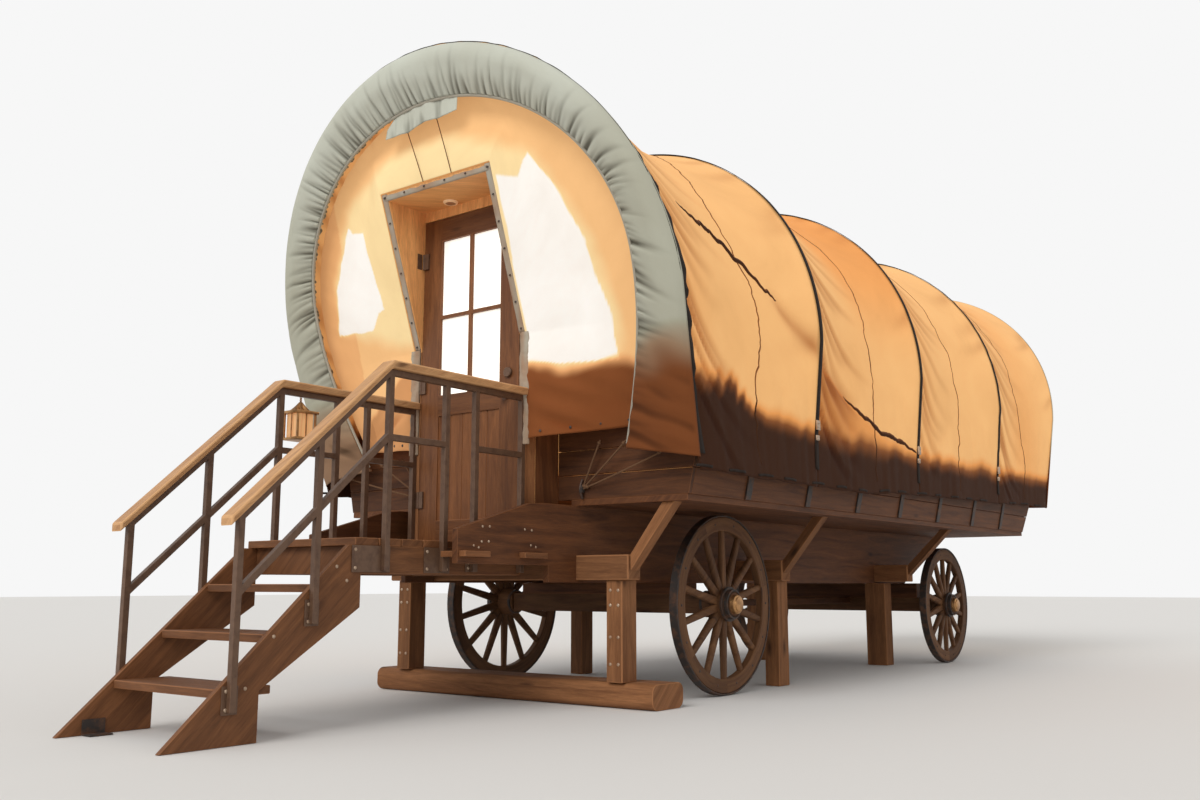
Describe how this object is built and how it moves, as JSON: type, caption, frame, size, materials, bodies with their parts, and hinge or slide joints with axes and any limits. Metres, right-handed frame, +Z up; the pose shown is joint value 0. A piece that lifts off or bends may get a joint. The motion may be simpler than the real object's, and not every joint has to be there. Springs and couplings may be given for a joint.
{
  "type": "covered wagon",
  "caption": "Stationary lodging covered wagon: canvas hood on hoops over a plank box, spoked wooden wheels, rear door with deck, stairs and railings, held on timber posts.",
  "frame": {"origin": "on the ground under the middle of the wagon's box, stairs included", "axes": "+Y from the door towards the wagon's front, +X to the right seen from the door, +Z up"},
  "size_m": [3.2, 9.0236, 3.795],
  "materials": {
    "canvas": "woven, matt",
    "hood_canvas": "woven, matt",
    "strap": "woven webbing",
    "box_wood": "stained, worn",
    "post_wood": "rough sawn",
    "door_wood": "oiled",
    "stair_wood": "stained",
    "handrail_wood": "oiled",
    "wheel_wood": "weathered",
    "dark_steel": "satin",
    "iron": "worn",
    "brass": "tarnished",
    "clear_glass": "clear",
    "lamp": "frosted"
  },
  "bodies": {
    "wagon": {"aisle_floor": "box_wood", "bed_front_board": "box_wood", "bed_sides": "box_wood", "bows": "post_wood", "box_front_wall": "box_wood", "box_platform": "box_wood", "box_rear_walls": "box_wood", "box_sides": "box_wood", "box_stakes": "iron", "canvas_cover": "canvas", "cover_straps": "strap", "cross_beams": "post_wood", "deck_boards": "stair_wood", "deck_frame": "stair_wood", "deck_outriggers": "stair_wood", "door_housing": "door_wood", "end_canvas_front": "canvas", "end_canvas_rear": "canvas", "front_axle": "wheel_wood", "front_bolster": "box_wood", "ground_sleeper": "post_wood", "handrail_left": "handrail_wood", "handrail_right": "handrail_wood", "hood_front": "hood_canvas", "hood_rear": "hood_canvas", "housing_posts": "post_wood", "jamb_hinges": "dark_steel", "knee_braces": "post_wood", "lantern_frame": "iron", "lantern_glass": "clear_glass", "rail_frame_left": "dark_steel", "rail_frame_right": "dark_steel", "reach_pole": "box_wood", "rear_axle": "wheel_wood", "rear_bolster": "box_wood", "soffit_light": "lamp", "stair_stringers": "stair_wood", "post_brackets": "dark_steel", "stair_feet": "dark_steel", "stair_treads": "stair_wood", "support_posts": "post_wood"},
    "door": {"door_slab": "door_wood", "door_glass": "clear_glass", "door_hardware": "dark_steel"},
    "rear_left": {"rear_left_wheel": "wheel_wood", "rear_left_irons": "iron", "rear_left_hub_cap": "brass"},
    "rear_right": {"rear_right_wheel": "wheel_wood", "rear_right_irons": "iron", "rear_right_hub_cap": "brass"},
    "front_left": {"front_left_wheel": "wheel_wood", "front_left_irons": "iron", "front_left_hub_cap": "brass"},
    "front_right": {"front_right_wheel": "wheel_wood", "front_right_irons": "iron", "front_right_hub_cap": "brass"}
  },
  "joints": [
    {"name": "door_swing", "type": "hinge", "parent": "wagon", "child": "door", "pos_m": [-0.4025, -2.362, 1.9], "axis": [0, 0, -1], "range_deg": [0, 84]},
    {"name": "rear_left_spin", "type": "hinge", "parent": "wagon", "child": "rear_left", "pos_m": [-0.927, -0.987, 0.557], "axis": [-1, 0, 0], "continuous": true},
    {"name": "rear_right_spin", "type": "hinge", "parent": "wagon", "child": "rear_right", "pos_m": [0.927, -0.987, 0.557], "axis": [-1, 0, 0], "continuous": true},
    {"name": "front_left_spin", "type": "hinge", "parent": "wagon", "child": "front_left", "pos_m": [-0.927, 2.788, 0.501], "axis": [-1, 0, 0], "continuous": true},
    {"name": "front_right_spin", "type": "hinge", "parent": "wagon", "child": "front_right", "pos_m": [0.927, 2.788, 0.501], "axis": [-1, 0, 0], "continuous": true}
  ]
}
